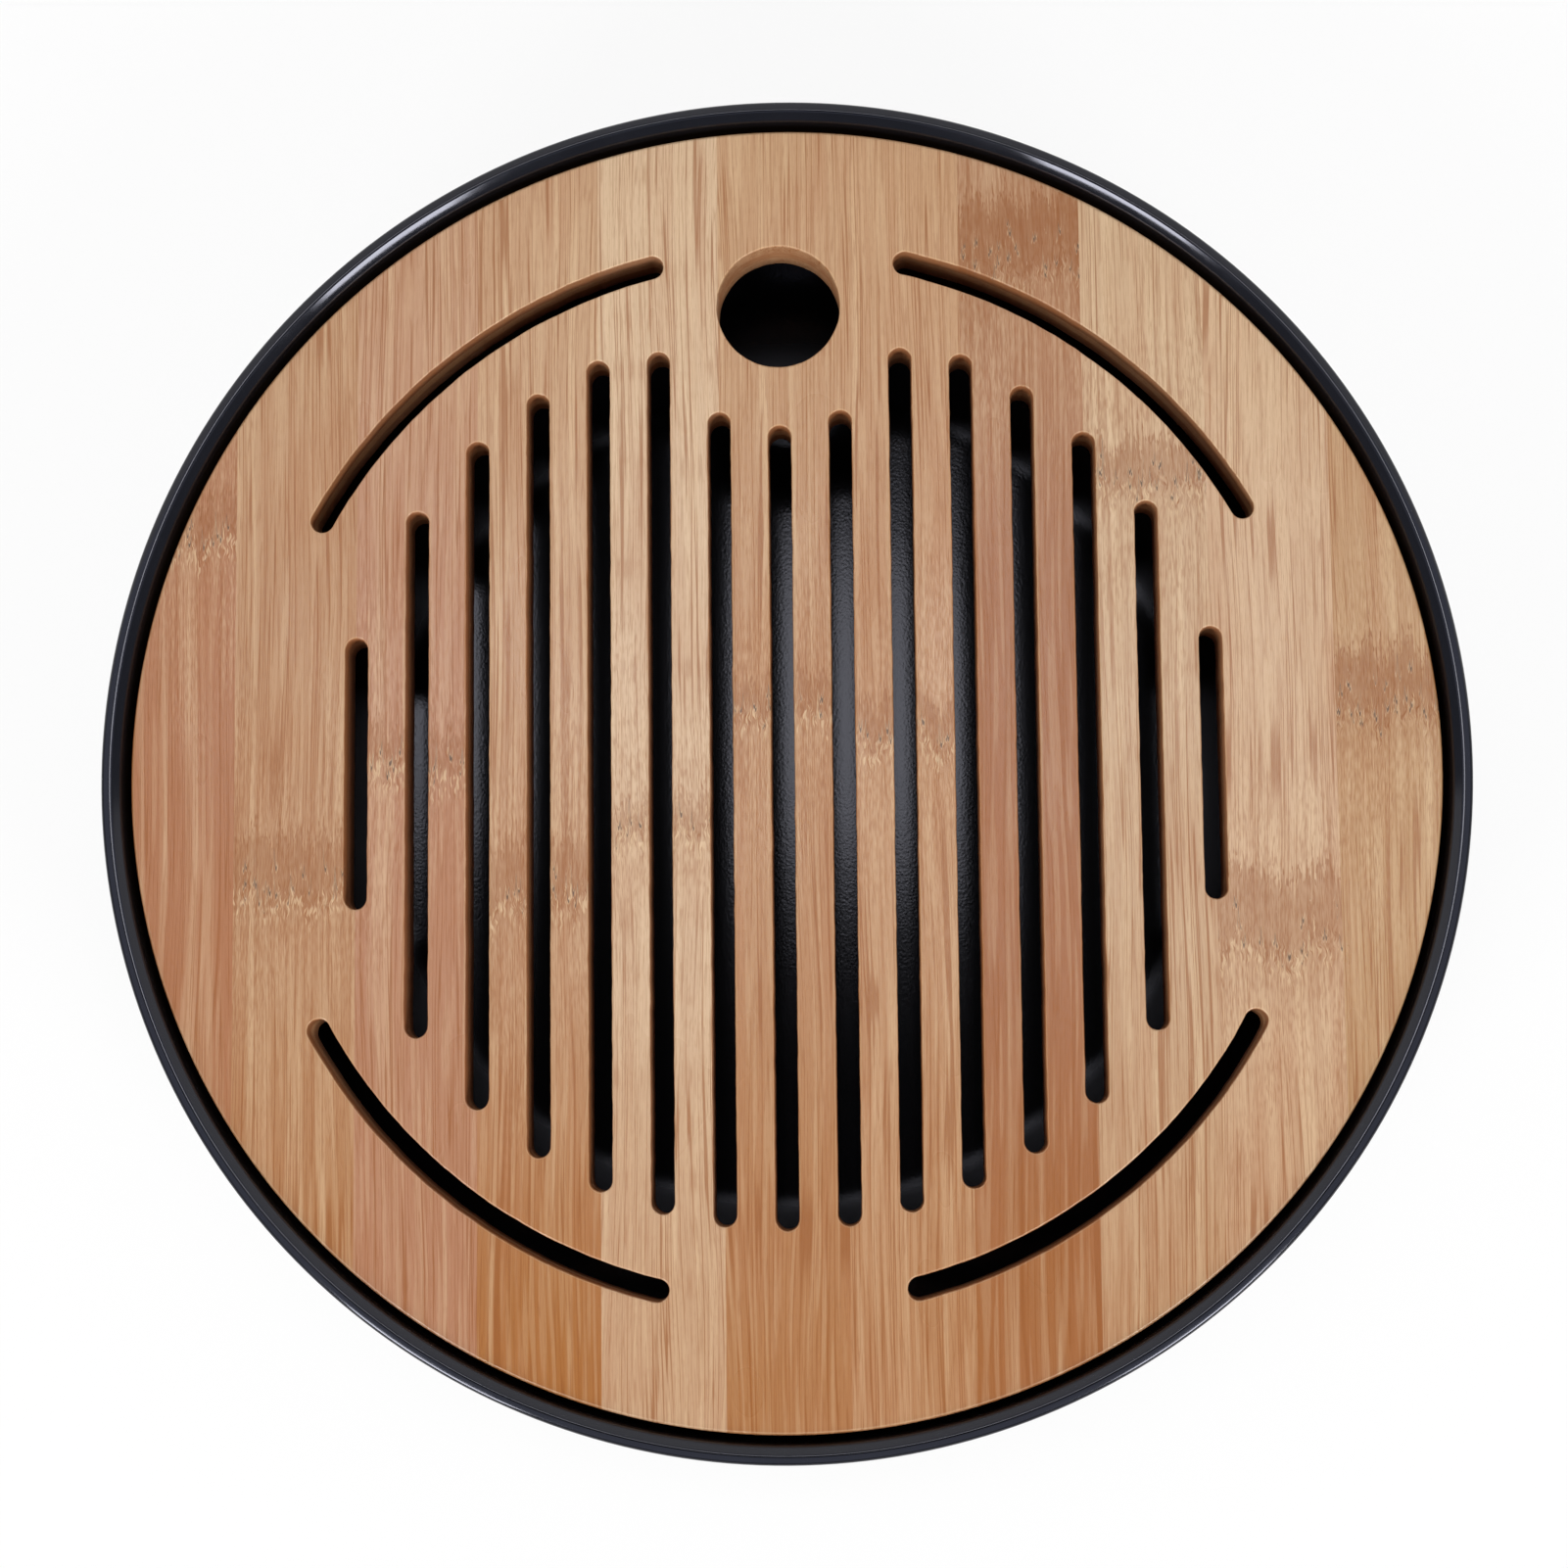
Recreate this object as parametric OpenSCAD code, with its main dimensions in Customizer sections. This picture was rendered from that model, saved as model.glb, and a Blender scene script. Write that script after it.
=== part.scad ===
// Round gongfu tea tray: a slotted bamboo board lies on a ledge inside a moulded dish.
// Spilled tea runs through the slots into the dish, and a finger hole lifts the board off.
// Millimetres, +Z up, origin at the centre of the foot ring's underside.
// The strips' grain runs along Y, and the finger hole is near the +Y edge.

/* [Board] */
// Diameter of the bamboo board
board_d = 257; // [248:1:290]
// Thickness of the top and of the bottom ply
face_ply_t = 4.4; // [3:0.1:6]
// Thickness of the cross ply between them
core_ply_t = 3.2; // [2:0.1:6]
// Width of one bamboo strip, glue line to glue line
strip_w = 24; // [20:1:32]
// Chamfer round the board's upper and lower edge
board_chamfer = 0.6; // [0.2:0.1:1.5]

/* [Slots] */
// Number of straight slots, an odd number
slot_count = 15; // [5:2:15]
// Distance from one slot to the next
slot_pitch = 12; // [9:0.5:12]
// Width of every slot, straight or curved
slot_w = 4.5; // [3:0.1:6]
// Radius of the circle that the straight slots' end centres lie on
slot_field_r = 87.5; // [86:0.5:95]
// Radius of the curved slots' centre line
arc_slot_r = 104; // [102:0.5:112]
// Distance from the X axis to a curved slot's near end centre
arc_slot_low = 50.4; // [30:0.2:66]
// Distance from the X axis to a curved slot's far end centre
arc_slot_high = 100.9; // [88:0.1:101.5]

/* [Finger hole] */
// Diameter of the finger hole
hole_d = 24.5; // [18:0.5:26]
// Distance from the board's centre to the hole's centre
hole_y = 92.5; // [88:0.5:100]
// Wood left between the finger hole and the ends of the slots below it
hole_rib = 12; // [6:0.5:14]

/* [Fit of the board] */
// Radial gap between the board's edge and the dish wall
board_gap = 1.5; // [0.5:0.1:3]
// Height of the board's underside above the ledge
seat_gap = 0.3; // [0.2:0.05:0.6]

/* [Dish] */
// Wall thickness of the dish
dish_wall = 3; // [2:0.1:4]
// Thickness of the dish floor
floor_t = 3; // [2:0.1:5]
// Radius of the flat floor inside the dish
floor_r = 83; // [70:1:86]
// Depth from the ledge down to the floor
basin_depth = 33; // [20:1:34]
// Width of the ledge that carries the board
ledge_w = 5.5; // [4:0.5:10]
// Rounding of the ledge's inner nose
ledge_nose = 0.8; // [0.4:0.1:1.5]
// Fillet between the ledge and the wall round the board
ledge_fillet = 1; // [0.5:0.1:1.4]
// Rounding of the collar's lower edge
collar_round = 1.6; // [0.8:0.1:2.4]
// Fillet under the collar
collar_fillet = 2.5; // [1:0.1:4]

/* [Rim] */
// Height of the rim's crest above the board
lip_h = 2.6; // [1.5:0.1:6]
// Height above the board at which the wall starts to flare
lip_start = 0.5; // [0:0.1:1]
// Width of the flared inner face
lip_flare = 2; // [1:0.1:4]
// Width of the outer face, from the crest to the outline
lip_band = 2; // [1.5:0.1:4]
// Drop of the outer face from the crest to the outline
lip_drop = 0.6; // [0.2:0.1:1]
// Height of the rim's rolled bead below its crest
bead_h = 3.6; // [3:0.1:6]
// Rounding of the crest
crest_round = 0.4; // [0.2:0.1:0.6]
// Rounding of the bead's outer edge
bead_round = 1; // [0.5:0.1:1.2]

/* [Foot ring] */
// Outer radius of the foot ring
foot_r = 80; // [60:1:82]
// Width of the foot ring
foot_w = 4; // [3:0.5:8]
// Height of the foot ring below the floor
foot_h = 2.5; // [1.5:0.1:6]
// Rounding of the foot ring's edges and roots
foot_round = 0.7; // [0.3:0.1:0.7]

/* [Hidden] */
$fn = 96;
board_r = board_d / 2;
board_t = 2 * face_ply_t + core_ply_t;
strip_count = 2 * ceil((board_r - strip_w / 2) / strip_w) + 1;
strip_mid = (strip_count + 1) / 2;
last_slot = (slot_count - 1) / 2;
relief_r = hole_d / 2 + hole_rib + slot_w / 2;
arc_slot_from = asin(arc_slot_low / arc_slot_r);
arc_slot_to = asin(arc_slot_high / arc_slot_r);
over = 1;
// The circle that ends a curved slot is this much wider, so it crosses the slot's sides cleanly
end_over = 0.02;

floor_z = foot_h + floor_t;
ledge_z = floor_z + basin_depth;
board_z = ledge_z + seat_gap;
board_top = board_z + board_t;
core_z = board_z + face_ply_t;
top_z = core_z + core_ply_t;

wall_r = board_r + board_gap;
ledge_r = wall_r - ledge_w;
collar_r = wall_r + dish_wall;
crest_r = wall_r + lip_flare;
rim_r = crest_r + lip_band;
crest_z = board_top + lip_h;
bead_z = crest_z - bead_h;
collar_z = ledge_z - dish_wall;

// One arc leaves the floor level and climbs to the ledge's nose.
bowl_run = ledge_r - floor_r;
bowl_r = (bowl_run * bowl_run + basin_depth * basin_depth) / (2 * basin_depth);
bowl_c = [floor_r, floor_z + bowl_r];
shell_r = bowl_r + dish_wall;

strip_ids = [for (i = [1:strip_count]) i];
function two_digits(i) = i < 10 ? str("0", i) : str(i);
function strip_name(ply, i) = str(ply, "_strip_", two_digits(i));

// Points of an arc about c from angle a0 to a1
function arc(c, r, a0, a1, n) =
    [for (i = [0:n]) let (a = a0 + (a1 - a0) * i / n) c + r * [cos(a), sin(a)]];

function unit(v) = v / norm(v);
function heading(v) = atan2(v[1], v[0]);

// The corner b between a and c, rounded with radius r
function corner(a, b, c, r, n = 6) =
    let (
        u = unit(a - b),
        v = unit(c - b),
        half = acos(u * v) / 2,
        mid = b + unit(u + v) * r / sin(half),
        a0 = heading(b + u * r / tan(half) - mid),
        a1 = heading(b + v * r / tan(half) - mid),
        turn = (a1 - a0 + 540) % 360 - 180
    )
    arc(mid, r, a0, a0 + turn, n);

// Angle on an arc about the bowl's centre, of radius r, at height z
function bowl_angle(r, z) = asin((z - bowl_c[1]) / r);

// Angle at which the bowl's outside is x away from the axis, level with the floor inside it
function under_angle(x) = asin(max(0, x - floor_r) / shell_r) - 90;

// Height of the dish's underside at x
function under_z(x) = bowl_c[1] + shell_r * sin(under_angle(x));

// Half length of the slot field at x, to the slots' end centres
function field_y(x) = sqrt(slot_field_r * slot_field_r - x * x);

// Upper end centre of the slot at x, held back concentrically from the finger hole
function slot_top(x) =
    abs(x) < relief_r
        ? min(field_y(x), hole_y - sqrt(relief_r * relief_r - x * x))
        : field_y(x);

// Inside of the dish: floor, bowl, ledge, wall round the board and the flared lip
function dish_inside() =
    let (
        nose_z = ledge_z - ledge_nose,
        flare_z = board_top + lip_start,
        ledge_corner = [wall_r, ledge_z],
        crest = [crest_r, crest_z]
    )
    concat(
        [[0, floor_z]],
        arc(bowl_c, bowl_r, -90, bowl_angle(bowl_r, nose_z), 28),
        [[ledge_r + ledge_nose, ledge_z]],
        corner([ledge_r, ledge_z], ledge_corner, [wall_r, flare_z], ledge_fillet),
        [[wall_r, flare_z]],
        corner([wall_r, flare_z], crest, [rim_r, crest_z - lip_drop], crest_round)
    );

// Outside of the dish: bead, collar, bowl and foot ring
function dish_outside() =
    let (
        rim = [rim_r, crest_z - lip_drop],
        bead_low = [rim_r, bead_z],
        collar_low = [collar_r, collar_z],
        fillet_z = collar_z - collar_fillet,
        fillet_x = floor_r + sqrt(pow(shell_r + collar_fillet, 2) - pow(bowl_c[1] - fillet_z, 2)),
        fillet_c = [fillet_x, fillet_z],
        foot_in = foot_r - foot_w,
        tip = foot_round,
        root_out = foot_r + tip,
        root_in = foot_in - tip
    )
    concat(
        corner([crest_r, crest_z], rim, bead_low, bead_round),
        [bead_low],
        [[collar_r, bead_z - (rim_r - collar_r)]],
        corner([collar_r, bead_z], collar_low, [floor_r, collar_z], collar_round),
        arc(fillet_c, collar_fillet, 90, heading(bowl_c - fillet_c), 6),
        arc(bowl_c, shell_r, heading(fillet_c - bowl_c), under_angle(root_out), 28),
        root_out < floor_r ? [[root_out, foot_h]] : [],
        [[foot_r, under_z(foot_r) - tip]],
        corner([foot_r, foot_h], [foot_r, 0], [foot_in, 0], tip, 4),
        corner([foot_r, 0], [foot_in, 0], [foot_in, foot_h], tip, 4),
        [[foot_in, under_z(foot_in) - tip]],
        root_in > floor_r ? arc(bowl_c, shell_r, under_angle(root_in), -90, 8) : [[root_in, foot_h]],
        [[0, foot_h]]
    );

module water_dish() {
    color("#1b1b1d")
    rotate_extrude($fn = 180)
    polygon(concat(dish_inside(), dish_outside()));
}

// A disc of the board from height z, t thick, with a chamfer below or above
module ply_disc(z, t, low, high) {
    rotate_extrude($fn = 180)
    polygon([
        [0, z],
        [board_r - low, z],
        [board_r, z + low],
        [board_r, z + t - high],
        [board_r - high, z + t],
        [0, z + t]
    ]);
}

// Cutter for the straight slot at x, through the whole board
module slot_cut(x) {
    low = -field_y(x);
    high = slot_top(x);
    translate([x, 0, board_z - over])
    linear_extrude(board_t + 2 * over) {
        translate([-slot_w / 2, low]) square([slot_w, high - low]);
        translate([0, low]) circle(d = slot_w);
        translate([0, high]) circle(d = slot_w);
    }
}

// Wedge between two angles that holds everything out to radius r
module wedge(a0, a1, r) {
    mid = (a0 + a1) / 2;
    far = 2 * r;
    polygon([
        [0, 0],
        far * [cos(a0), sin(a0)],
        far * [cos(mid), sin(mid)],
        far * [cos(a1), sin(a1)]
    ]);
}

// Cutter for one curved slot, in the quadrant that sx and sy name
module arc_slot_cut(sx, sy) {
    flip_x = sx < 0 ? [1, 0, 0] : [0, 0, 0];
    flip_y = sy < 0 ? [0, 1, 0] : [0, 0, 0];
    mirror(flip_x) mirror(flip_y)
    translate([0, 0, board_z - over])
    linear_extrude(board_t + 2 * over) {
        intersection() {
            difference() {
                circle(r = arc_slot_r + slot_w / 2, $fn = 180);
                circle(r = arc_slot_r - slot_w / 2, $fn = 180);
            }
            wedge(arc_slot_from, arc_slot_to, arc_slot_r);
        }
        for (a = [arc_slot_from, arc_slot_to])
            translate(arc_slot_r * [cos(a), sin(a)]) circle(d = slot_w + end_over);
    }
}

module finger_hole_cut() {
    translate([0, hole_y, board_z - over]) cylinder(h = board_t + 2 * over, d = hole_d);
}

// Cutters that reach into the band x0 to x1, y0 to y1 of the board
module board_cuts(x0, x1, y0, y1) {
    for (k = [-last_slot:last_slot]) {
        x = k * slot_pitch;
        in_x = x + slot_w / 2 > x0 && x - slot_w / 2 < x1;
        in_y = slot_top(x) + slot_w / 2 > y0 && -field_y(x) - slot_w / 2 < y1;
        if (in_x && in_y) slot_cut(x);
    }
    near_x = arc_slot_r * cos(arc_slot_to) - slot_w;
    far_x = arc_slot_r * cos(arc_slot_from) + slot_w;
    near_y = arc_slot_r * sin(arc_slot_from) - slot_w;
    far_y = arc_slot_r * sin(arc_slot_to) + slot_w;
    for (sx = [-1, 1], sy = [-1, 1]) {
        in_x = max(sx * x0, sx * x1) > near_x && min(sx * x0, sx * x1) < far_x;
        in_y = max(sy * y0, sy * y1) > near_y && min(sy * y0, sy * y1) < far_y;
        if (in_x && in_y) arc_slot_cut(sx, sy);
    }
    if (x1 > -hole_d / 2 && x0 < hole_d / 2 && y1 > hole_y - hole_d / 2) finger_hole_cut();
}

// A strip that runs along Y, in a ply from height z, t thick
module long_strip(i, z, t, low, high) {
    x0 = (i - strip_mid - 0.5) * strip_w;
    difference() {
        intersection() {
            ply_disc(z, t, low, high);
            translate([x0, -board_r - over, z - over])
            cube([strip_w, 2 * (board_r + over), t + 2 * over]);
        }
        board_cuts(x0, x0 + strip_w, -board_r, board_r);
    }
}

module top_strip(i) {
    color(i % 2 == 0 ? "#c39b7f" : "#caa68a")
    long_strip(i, top_z, face_ply_t, 0, board_chamfer);
}

module bottom_strip(i) {
    color(i % 2 == 0 ? "#c0977a" : "#c7a283")
    long_strip(i, board_z, face_ply_t, board_chamfer, 0);
}

// A strip of the core runs across, along X, so it ties the face strips together
module core_strip(i) {
    y0 = (i - strip_mid - 0.5) * strip_w;
    color("#a07a5c")
    difference() {
        intersection() {
            ply_disc(core_z, core_ply_t, 0, 0);
            translate([-board_r - over, y0, core_z - over])
            cube([2 * (board_r + over), strip_w, core_ply_t + 2 * over]);
        }
        board_cuts(-board_r, board_r, y0, y0 + strip_w);
    }
}

water_dish();
for (i = strip_ids) bottom_strip(i);
for (i = strip_ids) core_strip(i);
for (i = strip_ids) top_strip(i);
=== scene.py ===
"""Looks of a round gongfu tea tray: a slotted bamboo board over a black melamine dish."""

import math
from functools import partial

import bmesh
import bpy
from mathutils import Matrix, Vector, noise


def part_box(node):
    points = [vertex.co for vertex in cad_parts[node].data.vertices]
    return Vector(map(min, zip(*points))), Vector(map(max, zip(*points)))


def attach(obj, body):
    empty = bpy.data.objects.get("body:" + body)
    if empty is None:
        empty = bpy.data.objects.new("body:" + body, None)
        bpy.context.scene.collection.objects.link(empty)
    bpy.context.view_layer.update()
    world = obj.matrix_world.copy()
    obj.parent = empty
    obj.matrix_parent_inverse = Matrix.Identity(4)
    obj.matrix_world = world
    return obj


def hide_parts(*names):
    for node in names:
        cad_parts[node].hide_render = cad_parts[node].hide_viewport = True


bl_info = {
    "name": "Gongfu tea tray",
    "version": (1, 0, 0),
    "blender": (4, 5, 0),
    "location": "View3D > Sidebar > Tea tray",
    "description": "Models the slotted bamboo board, the moulded dish and their studio stage",
    "category": "Add Mesh",
}

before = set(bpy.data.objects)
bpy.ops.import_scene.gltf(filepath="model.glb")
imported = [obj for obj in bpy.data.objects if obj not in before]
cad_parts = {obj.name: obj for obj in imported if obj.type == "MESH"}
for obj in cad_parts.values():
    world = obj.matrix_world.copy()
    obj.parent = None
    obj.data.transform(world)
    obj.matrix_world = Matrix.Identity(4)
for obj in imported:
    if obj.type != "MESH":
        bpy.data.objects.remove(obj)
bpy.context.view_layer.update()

MM = 0.001
UP = Vector((0, 0, 1))
MIDDLE = Vector((0, 0, 0))
STRIPS = len([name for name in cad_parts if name.startswith("top_strip_")])

# Steps of a half circle: an odd number, so that no glue line meets a vertex
ROUND_STEPS = 15
# Steps of the board's outer edge and of the dish's full turn
EDGE_STEPS = 360
TURN_STEPS = 288
# Length of one step along a slot's side
SIDE_STEP = 1.6 * MM
# Seed of the cutter's wander, the same for every ply, so that the cuts run through
WANDER_SEED = 4
# A Map Range node that eases in and out
SOFT = {"interpolation_type": "SMOOTHSTEP"}

# The board's strips from the left. Tone; knuckle's place along Y in mm; height of its stain
# in mm; how brown it is; how much darker and redder the strip gets towards the front
STRIP_LOOKS = (
    ("#aa704a", 45, 8, 0.35, 0.1),
    ("#b4865f", -25, 12, 0.45, 0.9),
    ("#b27e5e", 0, 7, 0.35, 0.0),
    ("#ba8e69", -27, 12, 0.35, 1.5),
    ("#cfae8d", -13, 6, 0.30, 0.5),
    ("#b38259", 10, 7, 0.35, 0.7),
    ("#b5845b", 4, 8, 0.40, 0.2),
    ("#9e643d", 98, 15, 0.85, 0.8),
    ("#c3a07d", 54, 9, 0.55, 0.7),
    ("#c9a582", -38, 15, 0.55, 0.5),
    ("#b99065", 8, 13, 0.90, 0.1),
)


def linear(hex_colour):
    """Linear RGBA of an sRGB hex colour."""
    channels = [int(hex_colour[i:i + 2], 16) / 255 for i in (1, 3, 5)]
    curve = [c / 12.92 if c <= 0.04045 else ((c + 0.055) / 1.055) ** 2.4 for c in channels]
    return (*curve, 1.0)


def add(tree, kind, inputs=(), out=0, **settings):
    """Adds a shader node and returns one of its outputs, or all of them if out is None.

    An input takes a value or another node's output; a plain list fills them in order.
    """
    node = tree.nodes.new("ShaderNode" + kind)
    for name, value in settings.items():
        setattr(node, name, value)
    pairs = inputs.items() if isinstance(inputs, dict) else enumerate(inputs)
    for socket, value in pairs:
        if isinstance(value, bpy.types.NodeSocket):
            tree.links.new(value, node.inputs[socket])
        else:
            node.inputs[socket].default_value = value
    return node.outputs if out is None else node.outputs[out]


def new_material(name):
    """A material with an empty tree, and the add function bound to that tree."""
    material = bpy.data.materials.new(name)
    material.use_nodes = True
    material.node_tree.nodes.clear()
    return material, partial(add, material.node_tree)


class Pen:
    """Draws one outline in a bmesh by extruding and spinning its last vertex."""

    def __init__(self, bm, start):
        self.bm = bm
        self.start = bm.verts.new(start)
        self.tip = self.start
        self.corners = []

    def line(self, end, steps=1):
        begin = self.tip.co.copy()
        for i in range(steps):
            made = bmesh.ops.extrude_vert_indiv(self.bm, verts=[self.tip])
            self.tip = made["verts"][0]
            self.tip.co = begin.lerp(Vector(end), (i + 1) / steps)

    def corner(self, end, radius):
        self.line(end)
        self.corners.append((self.tip, radius))

    def arc(self, centre, axis, angle, steps):
        made = bmesh.ops.spin(
            self.bm, geom=[self.tip], cent=centre, axis=axis, angle=angle, steps=steps
        )
        self.tip = [v for v in made["geom_last"] if isinstance(v, bmesh.types.BMVert)][0]

    def round_corners(self, segments):
        """Rounds each noted corner: the bevel starts a tangent's length from it."""
        for vert, radius in self.corners:
            sides = [edge.other_vert(vert).co - vert.co for edge in vert.link_edges]
            tangent = radius / math.tan(sides[0].angle(sides[1]) / 2)
            bmesh.ops.bevel(
                self.bm,
                geom=[vert],
                offset=tangent,
                offset_type="OFFSET",
                affect="VERTICES",
                segments=segments,
                profile=0.5,
                material=-1,
            )

    def close(self):
        """Joins the tip to the start and returns the closed loop's edges."""
        bmesh.ops.weld_verts(self.bm, targetmap={self.tip: self.start})
        edges = []
        vert = self.start
        edge = vert.link_edges[0]
        while not edges or edge != edges[0]:
            edges.append(edge)
            vert = edge.other_vert(vert)
            edge = [e for e in vert.link_edges if e != edge][0]
        return edges


class BoardSize(bpy.types.PropertyGroup):
    slot_count: bpy.props.IntProperty(
        name="Slots", description="Number of straight slots", default=15, min=1)
    slot_pitch: bpy.props.FloatProperty(
        name="Slot pitch", description="From one slot to the next",
        default=12 * MM, unit="LENGTH")
    slot_width: bpy.props.FloatProperty(
        name="Slot width", description="Width of every slot", default=4.5 * MM, unit="LENGTH")
    slot_field: bpy.props.FloatProperty(
        name="Slot field radius", description="Circle that the slots' end centres lie on",
        default=87.5 * MM, unit="LENGTH")
    curved_radius: bpy.props.FloatProperty(
        name="Curved slot radius", description="Centre line of the curved slots",
        default=104 * MM, unit="LENGTH")
    curved_low: bpy.props.FloatProperty(
        name="Curved slot near end", description="From the X axis to its near end centre",
        default=50.4 * MM, unit="LENGTH")
    curved_high: bpy.props.FloatProperty(
        name="Curved slot far end", description="From the X axis to its far end centre",
        default=100.9 * MM, unit="LENGTH")
    hole_width: bpy.props.FloatProperty(
        name="Finger hole", description="Diameter of the finger hole",
        default=24.5 * MM, unit="LENGTH")
    hole_place: bpy.props.FloatProperty(
        name="Hole place", description="From the board's centre to the hole's",
        default=92.5 * MM, unit="LENGTH")
    hole_rib: bpy.props.FloatProperty(
        name="Hole rib", description="Wood between the hole and the slots below it",
        default=12 * MM, unit="LENGTH")
    arris: bpy.props.FloatProperty(
        name="Arris", description="Sanded rounding of the slots' and the hole's edges",
        default=0.35 * MM, unit="LENGTH")
    edge_round: bpy.props.FloatProperty(
        name="Edge rounding", description="Rounding of the board's outer edge",
        default=0.6 * MM, unit="LENGTH")
    cut_wander: bpy.props.FloatProperty(
        name="Cut wander", description="How far the cutter wandered along the slots",
        default=0.09 * MM, unit="LENGTH")


class DishSize(bpy.types.PropertyGroup):
    wall: bpy.props.FloatProperty(
        name="Wall", description="Thickness of the dish wall", default=3 * MM, unit="LENGTH")
    floor_thickness: bpy.props.FloatProperty(
        name="Floor", description="Thickness of the dish floor",
        default=3 * MM, unit="LENGTH")
    floor_radius: bpy.props.FloatProperty(
        name="Floor radius", description="Radius of the flat grained floor",
        default=83 * MM, unit="LENGTH")
    basin_depth: bpy.props.FloatProperty(
        name="Basin depth", description="From the ledge down to the floor",
        default=33 * MM, unit="LENGTH")
    board_gap: bpy.props.FloatProperty(
        name="Board gap", description="Between the board's edge and the wall",
        default=1.5 * MM, unit="LENGTH")
    ledge_width: bpy.props.FloatProperty(
        name="Ledge width", description="Width of the ledge under the board",
        default=5.5 * MM, unit="LENGTH")
    lip_start: bpy.props.FloatProperty(
        name="Flare start", description="Height above the board where the wall flares",
        default=0.5 * MM, unit="LENGTH")
    lip_flare: bpy.props.FloatProperty(
        name="Flare", description="Width of the flared inner face",
        default=2 * MM, unit="LENGTH")
    lip_drop: bpy.props.FloatProperty(
        name="Lip drop", description="From the crest down to the rim's outline",
        default=0.6 * MM, unit="LENGTH")
    bead_height: bpy.props.FloatProperty(
        name="Bead height", description="Height of the rim's rolled bead",
        default=3.6 * MM, unit="LENGTH")
    foot_radius: bpy.props.FloatProperty(
        name="Foot radius", description="Outer radius of the foot ring",
        default=80 * MM, unit="LENGTH")
    foot_width: bpy.props.FloatProperty(
        name="Foot width", description="Width of the foot ring", default=4 * MM,
        unit="LENGTH")
    foot_height: bpy.props.FloatProperty(
        name="Foot height", description="Height of the foot ring",
        default=2.5 * MM, unit="LENGTH")


class Finish(bpy.types.PropertyGroup):
    fibre: bpy.props.FloatVectorProperty(
        name="Fibre", description="Bamboo's fibre bundles, where the sanding cuts them open",
        default=linear("#94541c")[:3], subtype="COLOR")
    # Also mixed onto the rounded arrises as a painted highlight
    pith_and_highlight: bpy.props.FloatVectorProperty(
        name="Pith", description="Palest soft tissue between the bundles",
        default=linear("#efd3aa")[:3], subtype="COLOR")
    blush: bpy.props.FloatVectorProperty(
        name="Blush", description="Pinkish drift that steaming leaves in the bamboo",
        default=linear("#ac6c42")[:3], subtype="COLOR")
    knuckle: bpy.props.FloatVectorProperty(
        name="Knuckle", description="Stain at the knuckle of the culm",
        default=linear("#8f4f14")[:3], subtype="COLOR")
    root: bpy.props.FloatVectorProperty(
        name="Root dots", description="Dark dots of cut bundles in the knuckle",
        default=linear("#38190c")[:3], subtype="COLOR")
    # Painted shade: the top and bottom plies' upright faces are mixed towards this darker, browner
    # colour, standing in for the shade and reddish bounce light inside the slots
    slot_wall_shade: bpy.props.FloatVectorProperty(
        name="Routed wall", description="Tone of the slots' and the hole's walls",
        default=linear("#8e5730")[:3], subtype="COLOR")
    core: bpy.props.FloatVectorProperty(
        name="Core ply", description="Tone of the cross ply",
        default=linear("#b58a63")[:3], subtype="COLOR")
    dish: bpy.props.FloatVectorProperty(
        name="Dish", description="Black of the moulded dish",
        default=linear("#09090b")[:3], subtype="COLOR")


class Studio(bpy.types.PropertyGroup):
    camera_place: bpy.props.FloatVectorProperty(
        name="Camera place", description="Where the camera hangs over the tray",
        default=(15.7 * MM, -67.8 * MM, 627.3 * MM), subtype="TRANSLATION")
    camera_turn: bpy.props.FloatVectorProperty(
        name="Camera turn", description="The camera's turn from straight down",
        default=[math.radians(a) for a in (6.37, 1.61, -0.59)], subtype="EULER")
    camera_lens: bpy.props.FloatProperty(
        name="Lens", description="Focal length on a 36 mm wide sensor",
        default=68.1, unit="CAMERA")


class TeaTray(bpy.types.PropertyGroup):
    board: bpy.props.PointerProperty(type=BoardSize)
    dish: bpy.props.PointerProperty(type=DishSize)
    finish: bpy.props.PointerProperty(type=Finish)
    studio: bpy.props.PointerProperty(type=Studio)


def strip_name(ply, number):
    return f"{ply}_strip_{number:02d}"


def board_radius():
    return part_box(strip_name("top", STRIPS))[1].x


def strip_edges(number):
    """The two glue lines of a strip, from its place in the row."""
    low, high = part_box(strip_name("top", (STRIPS + 1) // 2))
    width = high.x - low.x
    left = (number - (STRIPS + 1) / 2 - 0.5) * width
    return left, left + width


def finished(bm, name, body, nodes, material):
    """Makes the piece's object, shades it, and gives it its body, slot and nodes."""
    bmesh.ops.recalc_face_normals(bm, faces=bm.faces)
    for edge in bm.edges:
        if len(edge.link_faces) == 2 and edge.calc_face_angle() > math.radians(35):
            edge.smooth = False
    for face in bm.faces:
        face.smooth = True
    mesh = bpy.data.meshes.new(name)
    bm.to_mesh(mesh)
    bm.free()
    mesh.materials.append(material)
    piece = bpy.data.objects.new(name, mesh)
    bpy.context.scene.collection.objects.link(piece)
    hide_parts(*nodes)
    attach(piece, body)
    return piece


def draw_slot(bm, x, low, high, radius, z):
    """A straight slot's outline between the two end centres."""
    steps = max(1, round((high - low) / SIDE_STEP))
    pen = Pen(bm, (x + radius, low, z))
    pen.line((x + radius, high, z), steps)
    pen.arc((x, high, z), UP, math.pi, ROUND_STEPS)
    pen.line((x - radius, low, z), steps)
    pen.arc((x, low, z), UP, math.pi, ROUND_STEPS)
    return pen.close()


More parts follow.
